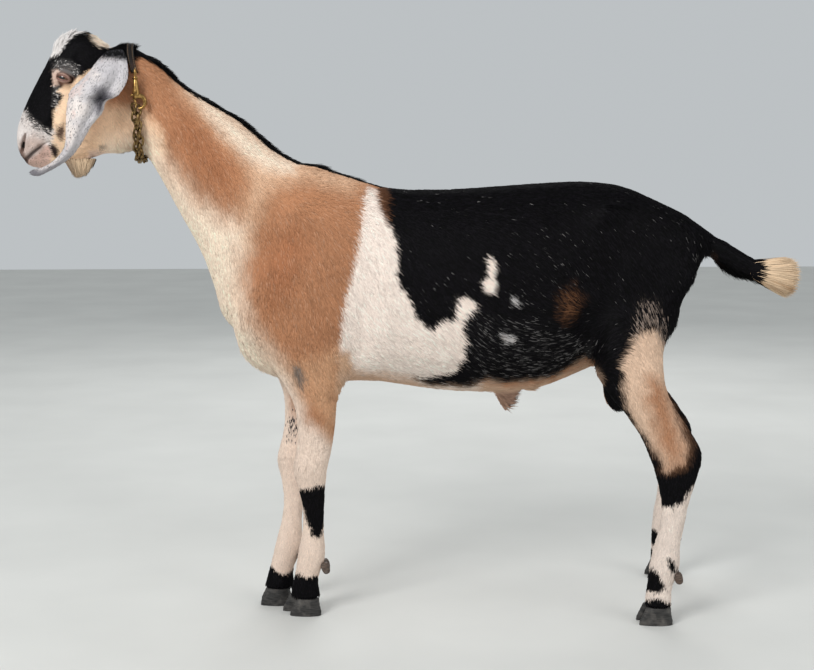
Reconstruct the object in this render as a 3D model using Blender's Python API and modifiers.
# A young male mini Nubian goat, life size, standing square with its head up.
# Metres, +Z up. The goat faces -X, its left side is towards -Y, and it stands on z = 0.
# The flesh is lofted from named sections, swollen with muscles, fused, and parted by thin cuts.

import math
import random

import bmesh
import bpy
from mathutils import Matrix, Vector
from mathutils.bvhtree import BVHTree

# Driving dimensions
CUT_GAP = 0.0003
CORONET_HEIGHT = 0.027
TRUNK_VOXEL = 0.0045
SKULL_VOXEL = 0.0022
RIGHT_HIND_SET_BACK = 0.066
RIGHT_FORE_SET_FORWARD = 0.044
HIND_FOOT_Y = {"left": -0.100, "right": 0.138}
FORE_FOOT_Y = {"left": -0.0275, "right": 0.0275}
LOFT_SIDES = 24
DEWCLAW_LEAN = math.radians(-38)
CLAW_OUT = 0.0118
INNER_CLAW_AHEAD = 0.012

EYE_CENTRE = Vector((-0.5045, 0.0358, 0.8195))
EYE_RADIUS = 0.0118

# Each section is: upper or front point (x, z), lower or rear point (x, z),
# half width, and how far its widest level lies towards the first point (-1 to 1).
TORSO = {
    "breast tip": ((-0.274, 0.520), (-0.268, 0.455), 0.022, 0.0),
    "breast": ((-0.264, 0.580), (-0.256, 0.403), 0.050, -0.1),
    "point of shoulder": ((-0.215, 0.655), (-0.217, 0.371), 0.074, -0.1),
    "front of withers": ((-0.150, 0.692), (-0.165, 0.362), 0.088, -0.15),
    "withers": ((-0.092, 0.681), (-0.115, 0.359), 0.094, -0.15),
    "heart girth": ((-0.030, 0.662), (-0.050, 0.360), 0.101, -0.15),
    "back": ((0.045, 0.659), (0.030, 0.348), 0.112, -0.15),
    "barrel": ((0.125, 0.663), (0.112, 0.342), 0.119, -0.15),
    "loin": ((0.195, 0.668), (0.188, 0.345), 0.115, -0.1),
    "flank": ((0.262, 0.671), (0.256, 0.366), 0.098, 0.05),
    "hook bones": ((0.325, 0.665), (0.315, 0.392), 0.086, 0.25),
    "thurls": ((0.372, 0.647), (0.356, 0.420), 0.078, 0.2),
    "rump": ((0.420, 0.625), (0.400, 0.455), 0.062, 0.2),
    "pin bones": ((0.452, 0.605), (0.437, 0.505), 0.044, 0.2),
    "tail head": ((0.470, 0.592), (0.456, 0.540), 0.020, 0.0),
}
NECK = {
    "poll": ((-0.458, 0.862), (-0.462, 0.750), 0.030, 0.1),
    "nape": ((-0.418, 0.872), (-0.432, 0.716), 0.036, 0.1),
    "throat": ((-0.379, 0.853), (-0.401, 0.711), 0.040, 0.0),
    "upper neck": ((-0.341, 0.8165), (-0.380, 0.683), 0.043, 0.0),
    "mid neck": ((-0.295, 0.7885), (-0.359, 0.643), 0.047, 0.0),
    "lower neck": ((-0.250, 0.762), (-0.337, 0.602), 0.053, -0.1),
    "neck base": ((-0.208, 0.724), (-0.314, 0.558), 0.060, -0.1),
    "collar of shoulder": ((-0.166, 0.700), (-0.297, 0.508), 0.066, -0.1),
    "under withers": ((-0.122, 0.691), (-0.280, 0.455), 0.068, -0.1),
    "deep chest": ((-0.090, 0.640), (-0.220, 0.420), 0.050, 0.0),
}
HEAD = {
    "back of poll": ((-0.452, 0.874), (-0.424, 0.800), 0.028, 0.2),
    "poll": ((-0.485, 0.890), (-0.428, 0.778), 0.036, 0.15),
    "brow": ((-0.518, 0.877), (-0.436, 0.750), 0.043, 0.1),
    "eyes": ((-0.541, 0.839), (-0.440, 0.722), 0.044, 0.1),
    "below eyes": ((-0.556, 0.813), (-0.458, 0.708), 0.040, 0.0),
    "cheek": ((-0.569, 0.788), (-0.486, 0.704), 0.035, 0.0),
    "nose": ((-0.580, 0.763), (-0.512, 0.698), 0.029, 0.0),
    "bridge end": ((-0.5855, 0.742), (-0.535, 0.692), 0.026, 0.0),
    "muzzle": ((-0.585, 0.722), (-0.552, 0.688), 0.023, 0.0),
    "lips": ((-0.580, 0.706), (-0.566, 0.691), 0.015, 0.0),
}
# Leg sections add the distance of their middle from the goat's middle plane.
FORELEG = {
    "shoulder blade": ((-0.178, 0.600), (-0.118, 0.606), 0.014, 0.0, 0.050),
    "shoulder": ((-0.238, 0.520), (-0.095, 0.540), 0.032, 0.0, 0.070),
    "arm": ((-0.232, 0.440), (-0.080, 0.440), 0.035, 0.0, 0.070),
    "elbow": ((-0.200, 0.378), (-0.088, 0.385), 0.030, 0.0, 0.060),
    "top of forearm": ((-0.178, 0.337), (-0.105, 0.343), 0.0255, 0.0, 0.054),
    "forearm": ((-0.171, 0.300), (-0.110, 0.300), 0.022, 0.0, 0.049),
    "above knee": ((-0.173, 0.262), (-0.116, 0.262), 0.0200, 0.0, 0.045),
    "knee": ((-0.179, 0.232), (-0.123, 0.230), 0.0215, 0.0, 0.042),
    "below knee": ((-0.171, 0.203), (-0.126, 0.205), 0.0180, 0.0, 0.039),
    "cannon": ((-0.1635, 0.168), (-0.129, 0.168), 0.0145, 0.0, 0.036),
    "low cannon": ((-0.165, 0.132), (-0.130, 0.132), 0.0145, 0.0, 0.033),
    "fetlock": ((-0.172, 0.095), (-0.127, 0.091), 0.0190, 0.0, 0.030),
    "pastern": ((-0.177, 0.062), (-0.139, 0.055), 0.0170, 0.0, 0.028),
    "coronet": ((-0.184, 0.032), (-0.135, 0.030), 0.0205, 0.0, 0.0275),
    "foot": ((-0.180, 0.015), (-0.137, 0.015), 0.0190, 0.0, 0.0275),
}
HINDLEG = {
    "hip": ((0.300, 0.600), (0.425, 0.575), 0.034, 0.0, 0.044),
    "upper thigh": ((0.276, 0.500), (0.441, 0.535), 0.042, 0.0, 0.055),
    "thigh": ((0.272, 0.430), (0.415, 0.491), 0.044, 0.0, 0.064),
    "stifle": ((0.281, 0.380), (0.389, 0.432), 0.037, 0.0, 0.075),
    "upper gaskin": ((0.302, 0.345), (0.385, 0.388), 0.030, 0.0, 0.083),
    "gaskin": ((0.326, 0.318), (0.393, 0.345), 0.025, 0.0, 0.088),
    "above hock": ((0.347, 0.284), (0.417, 0.308), 0.020, 0.0, 0.092),
    "hock": ((0.364, 0.246), (0.443, 0.262), 0.0195, 0.0, 0.095),
    "below hock": ((0.374, 0.212), (0.435, 0.222), 0.0185, 0.0, 0.097),
    "upper cannon": ((0.380, 0.180), (0.423, 0.183), 0.0165, 0.0, 0.098),
    "cannon": ((0.377, 0.150), (0.417, 0.150), 0.0160, 0.0, 0.099),
    "low cannon": ((0.369, 0.118), (0.411, 0.120), 0.0165, 0.0, 0.100),
    "fetlock": ((0.363, 0.088), (0.411, 0.088), 0.0200, 0.0, 0.100),
    "pastern": ((0.360, 0.058), (0.400, 0.055), 0.0175, 0.0, 0.100),
    "coronet": ((0.357, 0.032), (0.400, 0.030), 0.0205, 0.0, 0.100),
    "foot": ((0.358, 0.015), (0.398, 0.015), 0.0190, 0.0, 0.100),
}
TAIL = {
    "root": ((0.438, 0.610), (0.440, 0.545), 0.024, 0.0),
    "rear of root": ((0.462, 0.598), (0.462, 0.552), 0.019, 0.0),
    "top": ((0.482, 0.584), (0.480, 0.544), 0.016, 0.0),
    "middle": ((0.508, 0.568), (0.505, 0.529), 0.014, 0.0),
    "end of bone": ((0.535, 0.552), (0.530, 0.522), 0.011, 0.0),
    "core of brush": ((0.556, 0.542), (0.550, 0.517), 0.009, 0.0),
    "tip of core": ((0.566, 0.533), (0.563, 0.522), 0.005, 0.0),
}

# Muscles and bones that swell the lofts, on both sides: centre, three radii, turn about Y.
TRUNK_SWELLINGS = {
    "shoulder blade": ((-0.150, 0.062, 0.560), (0.040, 0.022, 0.085), -18.0),
    "point of shoulder": ((-0.228, 0.054, 0.470), (0.032, 0.026, 0.050), 0.0),
    "triceps": ((-0.110, 0.074, 0.470), (0.042, 0.020, 0.065), 25.0),
    "hook bone": ((0.300, 0.066, 0.620), (0.032, 0.020, 0.022), 0.0),
    "thigh": ((0.350, 0.070, 0.500), (0.062, 0.030, 0.085), -15.0),
    "pin bone": ((0.437, 0.026, 0.580), (0.018, 0.016, 0.024), 0.0),
    "stifle": ((0.300, 0.078, 0.405), (0.028, 0.026, 0.038), 0.0),
    "throat": ((-0.438, 0.008, 0.738), (0.044, 0.026, 0.030), -6.0),
}
SKULL_SWELLINGS = {
    "throat": ((-0.438, 0.008, 0.738), (0.044, 0.026, 0.030), -6.0),
    "cheek muscle": ((-0.470, 0.028, 0.758), (0.036, 0.014, 0.036), 30.0),
    "brow": ((-0.500, 0.0315, 0.8370), (0.024, 0.013, 0.010), -20.0),
    "cheek bone": ((-0.508, 0.0300, 0.8000), (0.028, 0.0105, 0.009), -48.0),
    "eye lids": ((-0.5045, 0.0350, 0.8195), (0.0185, 0.0160, 0.0155), 16.0),
    "nostril wing": ((-0.5735, 0.0115, 0.7300), (0.0095, 0.0090, 0.0115), 20.0),
    "upper lip": ((-0.5660, 0.0110, 0.7120), (0.0140, 0.0100, 0.0085), 35.0),
    "lower lip": ((-0.5600, 0.0080, 0.6980), (0.0130, 0.0090, 0.0070), 0.0),
}

# Creases pressed in along paths, on both sides: path, reach, depth.
SKULL_STROKES = {
    "mouth": (((-0.583, 0.004, 0.699), (-0.566, 0.018, 0.708), (-0.543, 0.024, 0.724)), 0.0042, 0.0022),
    "nostril": (
        ((-0.5800, 0.0150, 0.7180), (-0.5745, 0.0190, 0.7270), (-0.5705, 0.0195, 0.7360)),
        0.0040,
        0.0046,
    ),
    "nose middle": (((-0.586, 0.0, 0.725), (-0.583, 0.0, 0.708)), 0.0035, 0.0016),
    "chin fold": (((-0.545, 0.022, 0.712), (-0.533, 0.020, 0.703)), 0.0050, 0.0016),
    "eye opening": (
        ((-0.5170, 0.0480, 0.8235), (-0.5045, 0.0505, 0.8205), (-0.4920, 0.0480, 0.8160)),
        0.0076,
        0.0086,
    ),
    "upper lid fold": (
        ((-0.5210, 0.0440, 0.8300), (-0.5070, 0.0480, 0.8345), (-0.4910, 0.0460, 0.8300)),
        0.0045,
        0.0016,
    ),
    "below eye": (((-0.527, 0.040, 0.812), (-0.512, 0.044, 0.799), (-0.496, 0.045, 0.797)), 0.0070, 0.0022),
    "temple": (((-0.486, 0.040, 0.850), (-0.470, 0.042, 0.836)), 0.0110, 0.0026),
    "jaw edge": (((-0.500, 0.034, 0.722), (-0.470, 0.036, 0.722), (-0.446, 0.034, 0.735)), 0.0090, 0.0022),
}
TRUNK_STROKES = {
    "neck groove": (
        ((-0.375, 0.045, 0.715), (-0.330, 0.052, 0.650), (-0.290, 0.060, 0.590)),
        0.022,
        0.0040,
    ),
    "behind shoulder": (
        ((-0.070, 0.090, 0.620), (-0.062, 0.100, 0.520), (-0.070, 0.098, 0.420)),
        0.034,
        0.0050,
    ),
    "front of shoulder": (((-0.190, 0.075, 0.650), (-0.232, 0.080, 0.560)), 0.026, 0.0040),
    "flank hollow": (((0.235, 0.100, 0.620), (0.262, 0.104, 0.520)), 0.045, 0.0085),
    "flank fold": (((0.262, 0.095, 0.470), (0.268, 0.085, 0.400)), 0.024, 0.0060),
    "hock hollow": (((0.400, 0.122, 0.292), (0.415, 0.124, 0.270)), 0.012, 0.0030),
}

# Cut planes: a point (x, z) on each, and the way it faces, towards the piece that is further out.
HEAD_CUT = ((-0.434, 0.800), (-1.0, 0.07))
NECK_CUT = ((-0.218, 0.590), (-0.854, 0.520))
TAIL_CUT = ((0.470, 0.572), (0.90, -0.42))
THIGH_CUT = ((0.360, 0.4557), (0.585, -0.811))
ELBOW_CUT = ((-0.140, 0.338), (0.0, -1.0))
KNEE_CUT = ((-0.150, 0.216), (0.0, -1.0))
HOCK_CUT = ((0.405, 0.222), (0.15, -0.99))
MIDDLE_OF_TRUNK = ((0.080, 0.300), (1.0, 0.0))

# The mouth, from ahead of the lips back to its corner and along the jaw, and the jaw's far outline.
MOUTH_LINE = ((-0.610, 0.678), (-0.576, 0.7015), (-0.541, 0.7255), (-0.452, 0.716))
JAW_FAR_SIDE = ((-0.452, 0.640), (-0.610, 0.640))
JAW_HALF_WIDTH = 0.08

# Left ear: front and rear edge points (x, z), distance out from the middle plane, cup depth.
EAR_SECTIONS = {
    "base": ((-0.446, 0.861), (-0.424, 0.864), 0.020, 0.003),
    "root": ((-0.456, 0.847), (-0.413, 0.850), 0.037, 0.009),
    "fold": ((-0.469, 0.825), (-0.405, 0.819), 0.059, 0.015),
    "widest": ((-0.490, 0.801), (-0.424, 0.793), 0.071, 0.013),
    "upper blade": ((-0.498, 0.775), (-0.441, 0.775), 0.073, 0.011),
    "blade": ((-0.501, 0.748), (-0.458, 0.748), 0.072, 0.010),
    "lower blade": ((-0.503, 0.722), (-0.476, 0.720), 0.070, 0.008),
    "bend": ((-0.515, 0.703), (-0.494, 0.703), 0.068, 0.006),
    "turn": ((-0.532, 0.689), (-0.517, 0.689), 0.068, 0.004),
    "tip": ((-0.554, 0.684), (-0.546, 0.678), 0.069, 0.001),
}
EAR_THICKNESS = 0.0032
RIGHT_EAR_SHORTER = 0.026

# Locks of hair: the crest on the neck, the beard, and the tail's brush and fringe.
# A lock's shape: part of the way to its tip, then its width and thickness there.
LOCK_SEED = 7
LOCK_SHAPE = ((0.0, 0.75, 1.0), (0.30, 1.0, 1.0), (0.68, 0.78, 0.85), (1.0, 0.22, 0.40))
CREST_LOCKS = 18
CREST_X = (-0.376, -0.182)
CREST_LIE = Vector((0.78, 0.0, -0.62))
CREST_LENGTH = 0.028
CREST_LIFT = 0.0022
CREST_ROOT_DEPTH = 0.0050
CREST_WIDTH = 0.0112
CREST_THICKNESS = 0.0046
BEARD_ROWS_Y = (-0.0068, 0.0, 0.0068)
BEARD_LOCKS_IN_ROW = 5
BEARD_ROOT_X = (-0.513, -0.473)
BEARD_TIP_X = (-0.503, -0.478)
BEARD_TIP_Z = (0.6765, 0.6825)
BEARD_ROOT_DEPTH = 0.006
BEARD_WIDTH = 0.0135
BEARD_THICKNESS = 0.0074
BRUSH_LAYERS_Y = (-0.0042, 0.0, 0.0042)
BRUSH_LOCKS_IN_LAYER = 7
BRUSH_ROOT_X = 0.534
BRUSH_ROOT_Z = (0.543, 0.525)
BRUSH_TIP_X = (0.599, 0.592)
BRUSH_TIP_Z = (0.5440, 0.4870)
BRUSH_BOW = 0.0105
BRUSH_WIDTH = 0.0125
BRUSH_THICKNESS = 0.0052
FRINGE_LOCKS = 6
FRINGE_ROOT = ((0.478, 0.556), (0.528, 0.530))
FRINGE_REACH = Vector((0.034, 0.0, -0.030))

# The collar: a strap over the nape, a snap on the left, and a chain under the throat.
COLLAR_X = -0.401
COLLAR_HALF_WIDTH = 0.0440
STRAP_CENTRE_HEIGHT = 0.8200
STRAP_HALF_TURN = math.radians(76)
STRAP_WIDTH = 0.0125
STRAP_THICKNESS = 0.0045
STRAP_STEPS = 12
STRAP_SECTION = ((-1, -0.7), (-0.8, -1), (0.8, -1), (1, -0.7), (1, 0.7), (0.8, 1), (-0.8, 1), (-1, 0.7))
SNAP_TOP = 0.8280
SNAP_LENGTH = 0.0500
SNAP_STAND_OFF = 0.0040
CHAIN_TOP_LEFT = 0.7800
CHAIN_TOP_RIGHT = 0.8200
CHAIN_BOTTOM = 0.6985
CHAIN_PITCH = 0.0112
LINK_LENGTH = 0.0142
LINK_WIDTH = 0.0096
LINK_WIRE = 0.0014

TARGET_TRIANGLES = {
    "torso": 1560,
    "neck": 620,
    "head": 2150,
    "skull_for_jaw": 1500,
    "sheath": 110,
    "scrotum": 130,
    "tail": 240,
    "foreleg_upper": 260,
    "foreleg_lower": 360,
    "hindleg_upper": 480,
    "hindleg_lower": 420,
}
COLOURS = {
    "tan_coat": (0.52, 0.30, 0.16, 1.0),
    "black_coat": (0.012, 0.011, 0.011, 1.0),
    "cream_coat": (0.78, 0.68, 0.54, 1.0),
    "grey_coat": (0.46, 0.44, 0.43, 1.0),
    "horn": (0.055, 0.052, 0.050, 1.0),
    "dewclaw_horn": (0.20, 0.13, 0.09, 1.0),
    "eye": (0.16, 0.09, 0.03, 1.0),
    "leather": (0.10, 0.045, 0.025, 1.0),
    "brass": (0.55, 0.38, 0.14, 1.0),
}


def clear_scene():
    for item in list(bpy.data.objects):
        bpy.data.objects.remove(item)


def material_for(slot, roughness=0.8, metallic=0.0):
    name = slot.replace("_", " ")
    found = bpy.data.materials.get(name)
    if found:
        return found
    made = bpy.data.materials.new(name)
    made.use_nodes = True
    shader = made.node_tree.nodes["Principled BSDF"]
    shader.inputs["Base Color"].default_value = COLOURS[slot]
    shader.inputs["Roughness"].default_value = roughness
    shader.inputs["Metallic"].default_value = metallic
    made.diffuse_color = COLOURS[slot]
    return made


def finish(item, slot, roughness=0.8, metallic=0.0, sharp=50):
    item.data.materials.clear()
    item.data.materials.append(material_for(slot, roughness, metallic))
    item.data.shade_smooth()
    item.data.set_sharp_from_angle(angle=math.radians(sharp))


def new_object(name, mesh_data, collection):
    made = bpy.data.objects.new(name, mesh_data)
    collection.objects.link(made)
    return made


def object_from_bmesh(name, shape, collection):
    mesh_data = bpy.data.meshes.new(name)
    bmesh.ops.recalc_face_normals(shape, faces=shape.faces)
    shape.to_mesh(mesh_data)
    shape.free()
    return new_object(name, mesh_data, collection)


def apply_modifiers(item):
    graph = bpy.context.evaluated_depsgraph_get()
    graph.update()
    baked = bpy.data.meshes.new_from_object(item.evaluated_get(graph))
    item.modifiers.clear()
    old = item.data
    item.data = baked
    bpy.data.meshes.remove(old)


def section_ring(first, second, half_width, widest, y):
    # One ring of points in the plane of the two outline points and the Y axis.
    middle = Vector(((first[0] + second[0]) / 2, y, (first[1] + second[1]) / 2))
    reach = Vector((first[0] - second[0], 0.0, first[1] - second[1])) / 2
    points = []
    for step in range(LOFT_SIDES):
        turn = 2 * math.pi * step / LOFT_SIDES
        along = math.cos(turn) + widest * math.sin(turn) ** 2
        across = math.sin(turn)
        points.append(middle + reach * along + Vector((0.0, half_width * across, 0.0)))
    return points


def loft(name, rings, collection):
    # A closed skin over rings that all have the same number of points.
    shape = bmesh.new()
    rows = [[shape.verts.new(point) for point in ring] for ring in rings]
    count = len(rows[0])
    for before, after in zip(rows, rows[1:]):
        for step in range(count):
            following = (step + 1) % count
            shape.faces.new((before[step], before[following], after[following], after[step]))
    shape.faces.new(list(reversed(rows[0])))
    shape.faces.new(rows[-1])
    return object_from_bmesh(name, shape, collection)


def smooth_rings(rings, steps):
    # Rings read from a smooth curve through the given ones.
    finer = []
    last = len(rings) - 1
    for index in range(last):
        before = rings[max(index - 1, 0)]
        start = rings[index]
        end = rings[index + 1]
        after = rings[min(index + 2, last)]
        for step in range(steps):
            t = step / steps
            ring = []
            for p0, p1, p2, p3 in zip(before, start, end, after):
                bend = (p2 - p0) * t + (2 * p0 - 5 * p1 + 4 * p2 - p3) * t ** 2
                ring.append(p1 + (bend + (3 * p1 - p0 - 3 * p2 + p3) * t ** 3) / 2)
            finer.append(ring)
    finer.append(rings[-1])
    return finer


def body_loft(name, sections, collection):
    rings = [section_ring(*section, 0.0) for section in sections.values()]
    return loft(name, smooth_rings(rings, 3), collection)


def leg_loft(name, sections, side, set_over, foot_y, collection):
    # The leg leans by set_over at the floor and by nothing at its top section.
    side_sign = -1.0 if side == "left" else 1.0
    values = list(sections.values())
    top = values[0][0][1]
    usual_foot_y = values[-1][4]
    rings = []
    for first, second, width, widest, out in values:
        lean = 1.0 - (first[1] + second[1]) / 2 / top
        shift = set_over * lean
        y = side_sign * out + (foot_y - side_sign * usual_foot_y) * lean
        moved_first = (first[0] + shift, first[1])
        moved_second = (second[0] + shift, second[1])
        rings.append(section_ring(moved_first, moved_second, width, widest, y))
    return loft(name, smooth_rings(rings, 3), collection)


def swelling(name, centre, radii, turn, side_sign, collection):
    shape = bmesh.new()
    bmesh.ops.create_icosphere(shape, subdivisions=3, radius=1.0)
    angle = math.radians(turn)
    for vert in shape.verts:
        x, y, z = (vert.co[axis] * radii[axis] for axis in range(3))
        turned_x = x * math.cos(angle) + z * math.sin(angle)
        turned_z = z * math.cos(angle) - x * math.sin(angle)
        vert.co = Vector((centre[0] + turned_x, side_sign * centre[1] + y, centre[2] + turned_z))
    return object_from_bmesh(name, shape, collection)


def join_objects(name, items, collection):
    # One object that holds the shells of all the others, which are removed.
    shape = bmesh.new()
    for item in items:
        shape.from_mesh(item.data)
    made = object_from_bmesh(name, shape, collection)
    for item in items:
        bpy.data.objects.remove(item)
    return made


def keep_largest(item):
    # Keeps the largest closed surface and drops loose scraps and sealed hollows,
    # also those that share an edge with it.
    shape = bmesh.new()
    shape.from_mesh(item.data)
    bmesh.ops.triangulate(shape, faces=shape.faces)
    seen = set()
    groups = []
    for start in shape.faces:
        if start in seen:
            continue
        group = []
        waiting = [start]
        seen.add(start)
        while waiting:
            face = waiting.pop()
            group.append(face)
            for edge in face.edges:
                if len(edge.link_faces) != 2:
                    continue
                for other in edge.link_faces:
                    if other not in seen:
                        seen.add(other)
                        waiting.append(other)
        groups.append(group)
    groups.sort(key=len)
    for group in groups[:-1]:
        bmesh.ops.delete(shape, geom=group, context="FACES")
    loose = [vert for vert in shape.verts if not vert.link_faces]
    bmesh.ops.delete(shape, geom=loose, context="VERTS")
    shape.to_mesh(item.data)
    shape.free()


def fuse(item, voxel, rounds):
    # One skin over the joined shells, with their joins blended.
    remesh = item.modifiers.new("fuse", "REMESH")
    remesh.mode = "VOXEL"
    remesh.voxel_size = voxel
    smooth = item.modifiers.new("blend", "SMOOTH")
    smooth.factor = 0.5
    smooth.iterations = rounds
    apply_modifiers(item)
    keep_largest(item)


def nearest_on_path(point, path):
    best = None
    for start, end in zip(path, path[1:]):
        run = end - start
        part = max(0.0, min(1.0, (point - start).dot(run) / run.length_squared))
        gap = (point - start - run * part).length
        if best is None or gap < best:
            best = gap
    return best


def press_strokes(item, strokes):
    # Moves the skin in along each crease, or out where the depth is negative.
    mesh_data = item.data
    for path, reach, depth in strokes.values():
        for side_sign in (-1.0, 1.0):
            points = [Vector((x, side_sign * y, z)) for x, y, z in path]
            low = Vector(map(min, zip(*points))) - Vector((reach, reach, reach))
            high = Vector(map(max, zip(*points))) + Vector((reach, reach, reach))
            moves = []
            for vert in mesh_data.vertices:
                co = vert.co
                if any(co[axis] < low[axis] or co[axis] > high[axis] for axis in range(3)):
                    continue
                gap = nearest_on_path(co, points)
                if gap < reach:
                    fall = (1.0 - (gap / reach) ** 2) ** 2
                    moves.append((vert.index, co - vert.normal * depth * fall))
            for index, place in moves:
                mesh_data.vertices[index].co = place
        mesh_data.update()


def cut_plane(cut, outer):
    # The plane's point, moved off by half the gap, and the way towards what is kept.
    (x, z), (face_x, face_z) = cut
    facing = Vector((face_x, 0.0, face_z)).normalized()
    kept = facing if outer else -facing
    return Vector((x, 0.0, z)) + kept * CUT_GAP / 2, kept


def middle_plane(side):
    kept = Vector((0.0, -1.0 if side == "left" else 1.0, 0.0))
    return kept * CUT_GAP / 2, kept


def trim(item, planes, margin):
    shape = bmesh.new()
    shape.from_mesh(item.data)
    for point, kept in planes:
        geometry = shape.verts[:] + shape.edges[:] + shape.faces[:]
        bmesh.ops.bisect_plane(
            shape,
            geom=geometry,
            dist=1e-6,
            plane_co=point - kept * margin,
            plane_no=-kept,
            clear_outer=True,
        )
        rim = [edge for edge in shape.edges if edge.is_boundary]
        bmesh.ops.holes_fill(shape, edges=rim, sides=0)
    shape.to_mesh(item.data)
    shape.free()


def reduce(item, triangles):
    keep_largest(item)
    have = len(item.data.polygons)
    if have <= triangles:
        return
    decimate = item.modifiers.new("reduce", "DECIMATE")
    decimate.ratio = triangles / have
    apply_modifiers(item)


def part_of(name, flesh, planes, triangles, slot, collection):
    # A copy of the flesh between the planes, reduced before its final cuts so that they stay flat.
    made = new_object(name, flesh.data.copy(), collection)
    trim(made, planes, 0.006)
    keep_largest(made)
    reduce(made, triangles)
    trim(made, planes, 0.0)
    keep_largest(made)
    finish(made, slot)
    return made


def boolean(item, other, operation):
    # MANIFOLD takes over where EXACT gives nothing.
    before = item.data.copy()
    for solver in ("EXACT", "MANIFOLD"):
        cutter = item.modifiers.new("cut", "BOOLEAN")
        cutter.operation = operation
        cutter.solver = solver
        cutter.object = other
        apply_modifiers(item)
        if item.data.polygons:
            break
        item.data = before.copy()
    bpy.data.meshes.remove(before)
    keep_largest(item)


def unite(item, pieces):
    # One closed body from overlapping closed pieces, by one Boolean union; the pieces are removed.
    group = bpy.data.collections.new("joining")
    bpy.context.scene.collection.children.link(group)
    for piece in pieces:
        group.objects.link(piece)
    union = item.modifiers.new("union", "BOOLEAN")
    union.operation = "UNION"
    union.operand_type = "COLLECTION"
    union.solver = "EXACT"
    union.collection = group
    apply_modifiers(item)
    for piece in pieces:
        bpy.data.objects.remove(piece)
    bpy.data.collections.remove(group)
    keep_largest(item)


def cut_clear(item, others, gap, collection):
    # Cuts away what lies inside the others or within the gap of them.
    for other in others:
        grown = new_object("grown copy", other.data.copy(), collection)
        push = grown.modifiers.new("gap", "DISPLACE")
        push.strength = gap
        push.mid_level = 0.0
        apply_modifiers(grown)
        boolean(item, grown, "DIFFERENCE")
        bpy.data.objects.remove(grown)


def prism(name, outline, half_width, collection):
    shape = bmesh.new()
    base = [shape.verts.new((x, -half_width, z)) for x, z in outline]
    face = shape.faces.new(base)
    pulled = bmesh.ops.extrude_face_region(shape, geom=[face])
    for item in pulled["geom"]:
        if isinstance(item, bmesh.types.BMVert):
            item.co.y = half_width
    return object_from_bmesh(name, shape, collection)


def make_trunk(collection):
    tail_stub = {name: TAIL[name] for name in ("root", "rear of root", "top")}
    pieces = [
        body_loft("torso form", TORSO, collection),
        body_loft("neck form", NECK, collection),
        body_loft("tail form", tail_stub, collection),
    ]
    for side in ("left", "right"):
        fore_shift = -RIGHT_FORE_SET_FORWARD if side == "right" else 0.0
        hind_shift = RIGHT_HIND_SET_BACK if side == "right" else 0.0
        pieces.append(leg_loft("foreleg form", FORELEG, side, fore_shift, FORE_FOOT_Y[side], collection))
        pieces.append(leg_loft("hindleg form", HINDLEG, side, hind_shift, HIND_FOOT_Y[side], collection))
        side_sign = -1.0 if side == "left" else 1.0
        for name, (centre, radii, turn) in TRUNK_SWELLINGS.items():
            pieces.append(swelling(name, centre, radii, turn, side_sign, collection))
    trunk = join_objects("trunk form", pieces, collection)
    fuse(trunk, TRUNK_VOXEL, 12)
    press_strokes(trunk, TRUNK_STROKES)
    return trunk


def make_skull(collection):
    pieces = [body_loft("head form", HEAD, collection), body_loft("neck form", NECK, collection)]
    for side_sign in (-1.0, 1.0):
        for name, (centre, radii, turn) in SKULL_SWELLINGS.items():
            pieces.append(swelling(name, centre, radii, turn, side_sign, collection))
    skull = join_objects("skull form", pieces, collection)
    trim(skull, [cut_plane(HEAD_CUT, True)], 0.03)
    fuse(skull, SKULL_VOXEL, 10)
    press_strokes(skull, SKULL_STROKES)
    return skull


def make_trunk_nodes(trunk, nodes):
    # Each node's name, its planes and its coat's colour.
    wanted = {
        "torso": (
            [
                cut_plane(NECK_CUT, False),
                cut_plane(TAIL_CUT, False),
                cut_plane(THIGH_CUT, False),
                cut_plane(ELBOW_CUT, False),
            ],
            "tan_coat",
        ),
        "neck": ([cut_plane(NECK_CUT, True), cut_plane(HEAD_CUT, False)], "tan_coat"),
    }
    ahead = cut_plane(MIDDLE_OF_TRUNK, False)
    behind = cut_plane(MIDDLE_OF_TRUNK, True)
    for side in ("left", "right"):
        fore_side = foreleg_plane(side)
        hind_side = middle_plane(side)
        wanted["foreleg_upper_" + side] = (
            [cut_plane(ELBOW_CUT, True), ahead, cut_plane(KNEE_CUT, False), fore_side],
            "tan_coat",
        )
        wanted["foreleg_lower_" + side] = (
            [cut_plane(KNEE_CUT, True), ahead, coronet_plane(), fore_side],
            "cream_coat",
        )
        wanted["hindleg_upper_" + side] = (
            [cut_plane(THIGH_CUT, True), behind, cut_plane(HOCK_CUT, False), hind_side],
            "black_coat",
        )
        wanted["hindleg_lower_" + side] = (
            [cut_plane(HOCK_CUT, True), behind, hind_side, coronet_plane()],
            "cream_coat",
        )
    for name, (planes, slot) in wanted.items():
        kind = name.replace("_left", "").replace("_right", "")
        part_of(name, trunk, planes, TARGET_TRIANGLES[kind], slot, nodes)


def coronet_plane():
    return Vector((0.0, 0.0, CORONET_HEIGHT + CUT_GAP / 2)), Vector((0.0, 0.0, 1.0))


def foreleg_plane(side):
    # The forefeet stand close together, so their dividing plane passes midway between them.
    middle = (FORE_FOOT_Y["left"] + FORE_FOOT_Y["right"]) / 2
    point = Vector((0.0, middle, 0.0))
    lean = Vector((0.0, 1.0, middle / ELBOW_CUT[0][1])).normalized()
    kept = -lean if side == "left" else lean
    return point + kept * CUT_GAP / 2, kept


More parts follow.
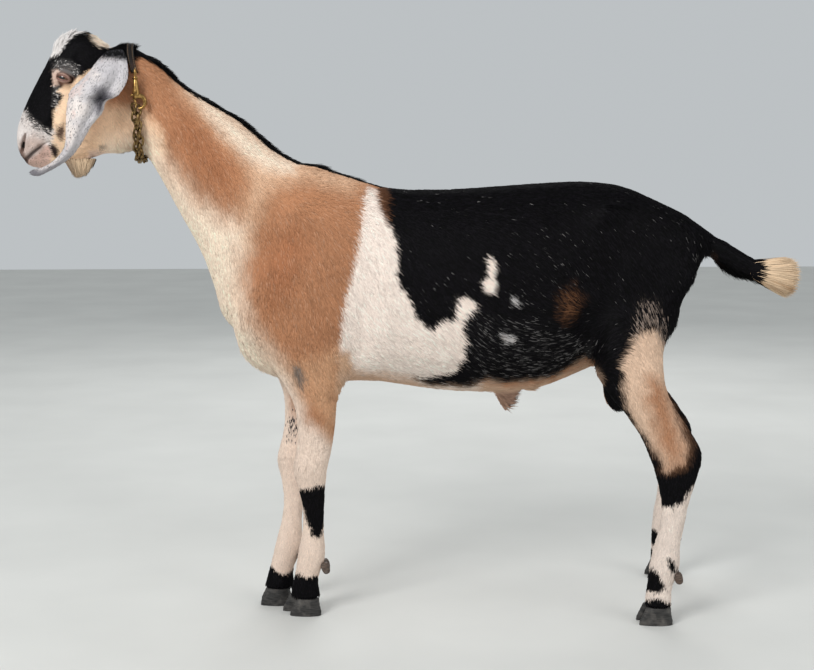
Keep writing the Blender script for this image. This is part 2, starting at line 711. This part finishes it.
def make_head_nodes(skull, nodes, cutters):
    front = cut_plane(HEAD_CUT, True)
    head = part_of("head", skull, [front], TARGET_TRIANGLES["head"], "tan_coat", nodes)
    jaw = part_of("jaw", skull, [front], TARGET_TRIANGLES["skull_for_jaw"], "cream_coat", nodes)
    jaw_space = prism("jaw space", MOUTH_LINE + JAW_FAR_SIDE, JAW_HALF_WIDTH, cutters)
    jaw_outline = tuple((x, z - CUT_GAP) for x, z in MOUTH_LINE[:-1])
    jaw_outline += ((MOUTH_LINE[-1][0] - CUT_GAP, MOUTH_LINE[-1][1] - CUT_GAP),)
    jaw_outline += ((JAW_FAR_SIDE[0][0] - CUT_GAP, JAW_FAR_SIDE[0][1]), JAW_FAR_SIDE[1])
    jaw_form = prism("jaw form", jaw_outline, JAW_HALF_WIDTH, cutters)
    boolean(head, jaw_space, "DIFFERENCE")
    boolean(jaw, jaw_form, "INTERSECT")
    for item in (jaw_space, jaw_form):
        bpy.data.objects.remove(item)
    return head, jaw


def make_eyes(head, nodes, cutters):
    for side, side_sign in (("left", -1.0), ("right", 1.0)):
        centre = Vector((EYE_CENTRE.x, side_sign * EYE_CENTRE.y, EYE_CENTRE.z))
        shape = bmesh.new()
        bmesh.ops.create_uvsphere(shape, u_segments=14, v_segments=8, radius=EYE_RADIUS)
        bmesh.ops.translate(shape, vec=centre, verts=shape.verts)
        eye = object_from_bmesh("eye_" + side, shape, nodes)
        finish(eye, "eye", 0.15)
        socket_shape = bmesh.new()
        bmesh.ops.create_uvsphere(socket_shape, u_segments=14, v_segments=8, radius=EYE_RADIUS + 2 * CUT_GAP)
        bmesh.ops.translate(socket_shape, vec=centre, verts=socket_shape.verts)
        socket = object_from_bmesh("socket", socket_shape, cutters)
        boolean(head, socket, "DIFFERENCE")
        bpy.data.objects.remove(socket)


def ear_ring(front, rear, out, cup, side_sign, shift, scale):
    # A crescent: its outer face bulges away from the head and its inner face is hollow.
    middle = Vector(((front[0] + rear[0]) / 2, 0.0, (front[1] + rear[1]) / 2))
    reach = Vector((front[0] - rear[0], 0.0, front[1] - rear[1])) / 2
    steps = 6
    outer = []
    inner = []
    for step in range(steps):
        u = -1.0 + 2.0 * step / (steps - 1)
        bulge = cup * (1.0 - u * u)
        thick = EAR_THICKNESS * (1.0 - 0.55 * u * u) * scale
        base = middle + reach * u + Vector((shift, 0.0, 0.0))
        outer.append(base + Vector((0.0, side_sign * (out + bulge), 0.0)))
        inner.append(base + Vector((0.0, side_sign * (out + bulge - thick), 0.0)))
    return outer + list(reversed(inner))


def make_ears(head, nodes, cutters):
    neck = bpy.data.objects["neck"]
    for side, side_sign in (("left", -1.0), ("right", 1.0)):
        rings = []
        values = list(EAR_SECTIONS.values())
        for index, (front, rear, out, cup) in enumerate(values):
            part = index / (len(values) - 1)
            shift = RIGHT_EAR_SHORTER * part ** 2 if side == "right" else 0.0
            lift = shift * 0.8
            raised_front = (front[0], front[1] + lift)
            raised_rear = (rear[0], rear[1] + lift)
            drawn_in = out - shift * 0.6
            scale = 1.0 + 3.0 * (1.0 - part) ** 6
            rings.append(ear_ring(raised_front, raised_rear, drawn_in, cup, side_sign, shift, scale))
        ear = loft("ear_" + side, smooth_rings(rings, 2), nodes)
        cut_clear(ear, [head], CUT_GAP, cutters)
        cut_clear(ear, [neck], CUT_GAP, cutters)
        finish(ear, "grey_coat")


def lock(root, tip, face, width, thickness, sag, collection):
    # A flat, tapered, bending lock of hair: it leaves the root, sags and narrows to its tip.
    run = tip - root
    side = run.cross(face).normalized()
    flat = side.cross(run).normalized()
    rings = []
    for part, wide, thick in LOCK_SHAPE:
        middle = root + run * part + sag * 4.0 * part * (1.0 - part)
        across = side * width / 2 * wide
        through = flat * thickness / 2 * thick
        rings.append([middle + across, middle + through, middle - across, middle - through])
    return loft("lock", rings, collection)


def add_locks(item, locks, planes):
    # Fuses the locks to their node and keeps them on their own side of its cuts.
    unite(item, locks)
    trim(item, planes, 0.0)
    keep_largest(item)


def between(ends, part):
    return ends[0] + (ends[1] - ends[0]) * part


def surface_tree(item):
    return BVHTree.FromObject(item, bpy.context.evaluated_depsgraph_get())


def add_crest(neck, draw, cutters):
    # The narrow crest of bristles from behind the strap to the withers.
    tree = surface_tree(neck)
    locks = []
    for index in range(CREST_LOCKS):
        x = between(CREST_X, index / (CREST_LOCKS - 1))
        sway = 1.0 if index % 2 else -1.0
        y = sway * draw.uniform(0.0010, 0.0022)
        surface, normal, _, _ = tree.ray_cast(Vector((x, y, 1.0)), Vector((0.0, 0.0, -1.0)))
        root = surface - normal * CREST_ROOT_DEPTH - CREST_LIE * 0.004
        tip = surface + CREST_LIE * CREST_LENGTH * draw.uniform(0.92, 1.10)
        tip += normal * CREST_LIFT * draw.uniform(0.7, 1.3)
        face = Vector((0.0, 1.0, 0.22 * sway))
        locks.append(lock(root, tip, face, CREST_WIDTH, CREST_THICKNESS, normal * 0.0012, cutters))
    add_locks(neck, locks, [cut_plane(NECK_CUT, True), cut_plane(HEAD_CUT, False)])


def add_beard(jaw, draw, cutters):
    # Rows of short blunt locks under the jaw, drawn together towards their tips.
    tree = surface_tree(jaw)
    locks = []
    for row, y in enumerate(BEARD_ROWS_Y):
        for index in range(BEARD_LOCKS_IN_ROW):
            part = (index + 0.5 * (row % 2)) / (BEARD_LOCKS_IN_ROW - 0.5)
            x = between(BEARD_ROOT_X, part)
            surface, _, _, _ = tree.ray_cast(Vector((x, y, 0.60)), Vector((0.0, 0.0, 1.0)))
            root = surface + Vector((0.0, 0.0, BEARD_ROOT_DEPTH))
            tip_y = y * 0.7 + draw.uniform(-0.0015, 0.0015)
            tip_z = between(BEARD_TIP_Z, part) + draw.uniform(-0.0015, 0.0015)
            tip = Vector((between(BEARD_TIP_X, part), tip_y, tip_z))
            face = Vector((0.25 * (row - 1), 1.0, 0.0))
            sag = Vector((-0.002, y * 0.2, 0.0))
            locks.append(lock(root, tip, face, BEARD_WIDTH, BEARD_THICKNESS, sag, cutters))
    add_locks(jaw, locks, [])


def add_brush(tail, draw, cutters):
    # The tail's brush: a blunt upright fan of locks, with a fringe below the bone.
    locks = []
    for layer, y in enumerate(BRUSH_LAYERS_Y):
        for index in range(BRUSH_LOCKS_IN_LAYER):
            part = (index + 0.5 * (layer % 2)) / (BRUSH_LOCKS_IN_LAYER - 0.5)
            root_x = BRUSH_ROOT_X + draw.uniform(0.0, 0.010)
            root = Vector((root_x, y, between(BRUSH_ROOT_Z, part)))
            bow = BRUSH_BOW * (1.0 - (2.0 * part - 1.0) ** 2)
            tip_x = between(BRUSH_TIP_X, part) + bow + draw.uniform(-0.003, 0.001)
            tip = Vector((tip_x, y * 2.0, between(BRUSH_TIP_Z, part)))
            sag = Vector((0.0, y, 0.004 * (1.0 - 2.0 * part)))
            face = Vector((0.0, 1.0, 0.25 * (layer - 1)))
            locks.append(lock(root, tip, face, BRUSH_WIDTH, BRUSH_THICKNESS, sag, cutters))
    for index in range(FRINGE_LOCKS):
        part = index / (FRINGE_LOCKS - 1)
        y = BRUSH_LAYERS_Y[2] if index % 2 else BRUSH_LAYERS_Y[0]
        start, end = (Vector((x, y, z)) for x, z in FRINGE_ROOT)
        root = start.lerp(end, part)
        tip = root + FRINGE_REACH + Vector((0.0, 0.0, draw.uniform(-0.002, 0.002)))
        sag = Vector((-0.002, 0.0, -0.001))
        face = Vector((0.0, 1.0, 0.0))
        locks.append(lock(root, tip, face, BRUSH_WIDTH, BRUSH_THICKNESS, sag, cutters))
    add_locks(tail, locks, [cut_plane(TAIL_CUT, True)])


def make_tail(nodes):
    tail = body_loft("tail", TAIL, nodes)
    fuse(tail, 0.004, 3)
    trim(tail, [cut_plane(TAIL_CUT, True)], 0.006)
    reduce(tail, TARGET_TRIANGLES["tail"])
    trim(tail, [cut_plane(TAIL_CUT, True)], 0.0)
    keep_largest(tail)
    finish(tail, "black_coat")
    return tail


def claw_ring(toe_x, heel_x, y, half_width, z, inward):
    # An outline that narrows to the toe, with its inner side nearly straight.
    points = []
    sides = 14
    length = heel_x - toe_x
    for step in range(sides):
        turn = 2 * math.pi * step / sides
        part = (1.0 - math.cos(turn)) / 2
        across = math.sin(turn) * (0.55 + 0.45 * part) * half_width
        if across * inward > 0:
            across *= 0.75
        points.append(Vector((toe_x + length * part, y + across, z)))
    return points


def make_hooves(nodes):
    feet = {
        "fore_left": (-0.186, FORE_FOOT_Y["left"], 0.053),
        "fore_right": (-0.190 - RIGHT_FORE_SET_FORWARD, FORE_FOOT_Y["right"], 0.053),
        "hind_left": (0.345, HIND_FOOT_Y["left"], 0.056),
        "hind_right": (0.345 + RIGHT_HIND_SET_BACK, HIND_FOOT_Y["right"], 0.056),
    }
    for foot, (toe_x, foot_y, length) in feet.items():
        for claw, side_sign in (("near", -1.0), ("far", 1.0)):
            y = foot_y + side_sign * CLAW_OUT
            spread = INNER_CLAW_AHEAD if foot + claw == "fore_leftfar" else 0.0
            toe = toe_x - spread
            heel = toe_x + length - spread * 0.5
            top = CORONET_HEIGHT - CUT_GAP / 2
            rings = [
                claw_ring(toe, heel, y, 0.0108, 0.0, -side_sign),
                claw_ring(toe + 0.0015, heel - 0.0005, y, 0.0112, 0.004, -side_sign),
                claw_ring(toe + 0.0085, heel - 0.0025, y, 0.0110, top, -side_sign),
            ]
            hoof = loft("hoof_" + foot + "_" + claw, rings, nodes)
            finish(hoof, "horn", 0.55, 0.0, 40)


def make_dewclaws(nodes, cutters):
    feet = {
        "fore_left": (-0.132, FORE_FOOT_Y["left"], 0.074),
        "fore_right": (-0.132 - RIGHT_FORE_SET_FORWARD * 0.86, FORE_FOOT_Y["right"], 0.074),
        "hind_left": (0.403, HIND_FOOT_Y["left"], 0.071),
        "hind_right": (0.403 + RIGHT_HIND_SET_BACK * 0.86, HIND_FOOT_Y["right"], 0.071),
    }
    for foot, (x, foot_y, z) in feet.items():
        leg = foot.replace("_", "leg_lower_")
        for claw, side_sign in (("near", -1.0), ("far", 1.0)):
            name = "dewclaw_" + foot + "_" + claw
            shape = bmesh.new()
            bmesh.ops.create_cone(
                shape, cap_ends=True, segments=7, radius1=0.0030, radius2=0.0058, depth=0.016
            )
            made = object_from_bmesh(name, shape, nodes)
            lean = DEWCLAW_LEAN
            for vert in made.data.vertices:
                px, py, pz = vert.co
                turned_x = px * math.cos(lean) + pz * math.sin(lean)
                turned_z = pz * math.cos(lean) - px * math.sin(lean)
                vert.co = Vector((x + 0.004 + turned_x, foot_y + side_sign * 0.0095 + py, z + turned_z))
            cut_clear(made, [bpy.data.objects[leg]], CUT_GAP, cutters)
            finish(made, "dewclaw_horn", 0.6, 0.0, 40)


def make_underside(nodes, cutters):
    flesh = [bpy.data.objects[name] for name in ("torso", "hindleg_upper_left", "hindleg_upper_right")]
    sheath_rings = [
        section_ring((0.128, 0.362), (0.178, 0.360), 0.018, 0.0, 0.0),
        section_ring((0.134, 0.340), (0.172, 0.338), 0.015, 0.0, 0.0),
        section_ring((0.142, 0.324), (0.166, 0.322), 0.010, 0.0, 0.0),
        section_ring((0.149, 0.312), (0.157, 0.311), 0.004, 0.0, 0.0),
    ]
    sheath = loft("sheath", smooth_rings(sheath_rings, 2), nodes)
    scrotum_rings = [
        section_ring((0.300, 0.440), (0.350, 0.440), 0.016, 0.0, 0.0),
        section_ring((0.302, 0.390), (0.352, 0.390), 0.020, 0.0, 0.0),
        section_ring((0.306, 0.350), (0.355, 0.352), 0.024, 0.0, 0.0),
        section_ring((0.312, 0.325), (0.352, 0.327), 0.021, 0.0, 0.0),
        section_ring((0.324, 0.311), (0.342, 0.312), 0.010, 0.0, 0.0),
    ]
    scrotum = loft("scrotum", smooth_rings(scrotum_rings, 2), nodes)
    for item, slot in ((sheath, "cream_coat"), (scrotum, "black_coat")):
        reduce(item, TARGET_TRIANGLES[item.name])
        cut_clear(item, flesh, CUT_GAP, cutters)
        finish(item, slot)


def tube(name, points, radius, sides, nodes):
    curve = bpy.data.curves.new(name, "CURVE")
    curve.dimensions = "3D"
    curve.bevel_depth = radius
    curve.bevel_resolution = sides
    curve.use_fill_caps = True
    spline = curve.splines.new("POLY")
    spline.points.add(len(points) - 1)
    for point, place in zip(spline.points, points):
        point.co = (*place, 1.0)
    made = new_object(name, curve, nodes)
    graph = bpy.context.evaluated_depsgraph_get()
    graph.update()
    baked = bpy.data.meshes.new_from_object(made.evaluated_get(graph))
    bpy.data.objects.remove(made)
    shape = bmesh.new()
    shape.from_mesh(baked)
    bmesh.ops.remove_doubles(shape, verts=shape.verts, dist=1e-6)
    return object_from_bmesh(name, shape, nodes)


def collar_path(steps, flesh):
    # The chain's route from the snap on the left, under the throat, up to the strap's right end.
    tree = surface_tree(flesh)
    clear = LINK_WIDTH / 2 + LINK_WIRE
    points = []
    for step in range(steps + 1):
        turn = math.pi * step / steps
        top = CHAIN_TOP_LEFT if turn < math.pi / 2 else CHAIN_TOP_RIGHT
        y = -COLLAR_HALF_WIDTH * math.cos(turn)
        z = top - (top - CHAIN_BOTTOM) * math.sin(turn) ** 0.8
        side = Vector((0.0, math.copysign(1.0, y), 0.0))
        found = surface_towards(tree, Vector((COLLAR_X, 0.0, z)), side)
        if found:
            y = side.y * max(abs(y), abs(found.y) + clear)
        points.append(Vector((COLLAR_X, y, z)))
    return points


def surface_towards(tree, centre, out):
    # Where a ray from outside, aimed at the centre, meets the flesh.
    found = tree.ray_cast(centre + out * 0.2, -out)
    return found[0]


def make_strap(nodes, cutters):
    # The strap lies on the nape and leaves the neck at its two ends.
    flesh = [bpy.data.objects[name] for name in ("neck", "head", "ear_left", "ear_right")]
    tree = surface_tree(bpy.data.objects["neck"])
    rings = []
    for step in range(STRAP_STEPS + 1):
        turn = STRAP_HALF_TURN * (2.0 * step / STRAP_STEPS - 1.0)
        out = Vector((0.0, math.sin(turn), math.cos(turn)))
        centre = Vector((COLLAR_X - 0.012 * math.cos(turn), 0.0, STRAP_CENTRE_HEIGHT))
        middle = surface_towards(tree, centre, out) + out * (STRAP_THICKNESS / 2 + 2 * CUT_GAP)
        half = STRAP_WIDTH / 2
        thick = STRAP_THICKNESS / 2
        ring = []
        for along, through in STRAP_SECTION:
            ring.append(middle + Vector((along * half, 0.0, 0.0)) + out * through * thick)
        rings.append(ring)
    strap = loft("collar_strap", rings, nodes)
    cut_clear(strap, flesh, CUT_GAP, cutters)
    finish(strap, "leather", 0.6)


def make_snap(nodes, cutters):
    # A bolt snap: an eye at the top, a tapered body and an open hook at the bottom.
    y = -COLLAR_HALF_WIDTH - SNAP_STAND_OFF
    body = [Vector((COLLAR_X, y, SNAP_TOP - 0.004)), Vector((COLLAR_X, y, SNAP_TOP - SNAP_LENGTH * 0.72))]
    pieces = [tube("snap body", body, 0.0034, 1, cutters)]
    up = Vector((0.0, 0.0, 1.0))
    hook_height = SNAP_TOP - SNAP_LENGTH * 0.86
    for height, radius, wire in ((SNAP_TOP, 0.0055, 0.0017), (hook_height, 0.0075, 0.0020)):
        centre = Vector((COLLAR_X, y, height))
        pieces.append(ring_link("snap ring", centre, radius, radius, wire, 0.0, 10, cutters, up))
    snap = fuse_pieces("collar_snap", pieces, nodes)
    others = [bpy.data.objects[name] for name in ("neck", "collar_strap", "ear_left")]
    cut_clear(snap, others, CUT_GAP, cutters)
    finish(snap, "brass", 0.35, 1.0)


def ring_link(name, centre, long_radius, short_radius, wire, twist, segments, collection, along):
    # One oval link, its long axis along the chain and its flat turned about that axis.
    side = Vector((1.0, 0.0, 0.0))
    through = along.cross(side).normalized()
    flat = side * math.cos(twist) + through * math.sin(twist)
    normal = along.cross(flat).normalized()
    rings = []
    for step in range(segments):
        turn = 2 * math.pi * step / segments
        out = along * math.cos(turn) * long_radius + flat * math.sin(turn) * short_radius
        way = out.normalized()
        ring = []
        for corner in range(4):
            angle = math.pi / 2 * corner + math.pi / 4
            ring.append(centre + out + (way * math.cos(angle) + normal * math.sin(angle)) * wire * 1.25)
        rings.append(ring)
    shape = bmesh.new()
    rows = [[shape.verts.new(point) for point in ring] for ring in rings]
    for before, after in zip(rows, rows[1:] + rows[:1]):
        for step in range(4):
            following = (step + 1) % 4
            shape.faces.new((before[step], before[following], after[following], after[step]))
    return object_from_bmesh(name, shape, collection)


def fuse_pieces(name, pieces, nodes):
    first = pieces[0]
    unite(first, pieces[1:])
    made = new_object(name, first.data, nodes)
    bpy.data.objects.remove(first)
    return made


def make_chain(nodes, cutters):
    path = collar_path(60, bpy.data.objects["neck"])
    lengths = [0.0]
    for before, after in zip(path, path[1:]):
        lengths.append(lengths[-1] + (after - before).length)
    count = round(lengths[-1] / CHAIN_PITCH)
    pieces = []
    for link in range(count):
        target = lengths[-1] * (link + 0.5) / count
        index = next(i for i, length in enumerate(lengths) if length >= target)
        along = (path[index] - path[index - 1]).normalized()
        part = (target - lengths[index - 1]) / (lengths[index] - lengths[index - 1])
        centre = path[index - 1].lerp(path[index], part)
        twist = math.radians(45 if link % 2 else -45)
        long_radius = LINK_LENGTH / 2
        short_radius = LINK_WIDTH / 2
        name = "link"
        made = ring_link(name, centre, long_radius, short_radius, LINK_WIRE, twist, 6, cutters, along)
        pieces.append(made)
    chain = fuse_pieces("collar_chain", pieces, nodes)
    others = ("neck", "head", "ear_left", "ear_right", "collar_snap", "collar_strap")
    cut_clear(chain, [bpy.data.objects[name] for name in others], CUT_GAP, cutters)
    finish(chain, "brass", 0.45, 1.0)


def settle_on_floor(nodes):
    # The origin is the middle of the goat's box, on the floor.
    places = [vert.co for item in nodes.objects for vert in item.data.vertices]
    low = Vector(map(min, zip(*places)))
    high = Vector(map(max, zip(*places)))
    shift = Vector((-(low.x + high.x) / 2, -(low.y + high.y) / 2, -low.z))
    for item in nodes.objects:
        item.data.transform(Matrix.Translation(shift))


def main():
    clear_scene()
    nodes = bpy.data.collections.new("goat")
    cutters = bpy.data.collections.new("forms")
    for collection in (nodes, cutters):
        bpy.context.scene.collection.children.link(collection)
    trunk = make_trunk(cutters)
    skull = make_skull(cutters)
    make_trunk_nodes(trunk, nodes)
    head, jaw = make_head_nodes(skull, nodes, cutters)
    make_eyes(head, nodes, cutters)
    make_ears(head, nodes, cutters)
    tail = make_tail(nodes)
    make_hooves(nodes)
    make_dewclaws(nodes, cutters)
    make_underside(nodes, cutters)
    make_strap(nodes, cutters)
    make_snap(nodes, cutters)
    make_chain(nodes, cutters)
    draw = random.Random(LOCK_SEED)
    add_crest(bpy.data.objects["neck"], draw, cutters)
    add_beard(jaw, draw, cutters)
    add_brush(tail, draw, cutters)
    for item in list(cutters.objects):
        bpy.data.objects.remove(item)
    settle_on_floor(nodes)


main()
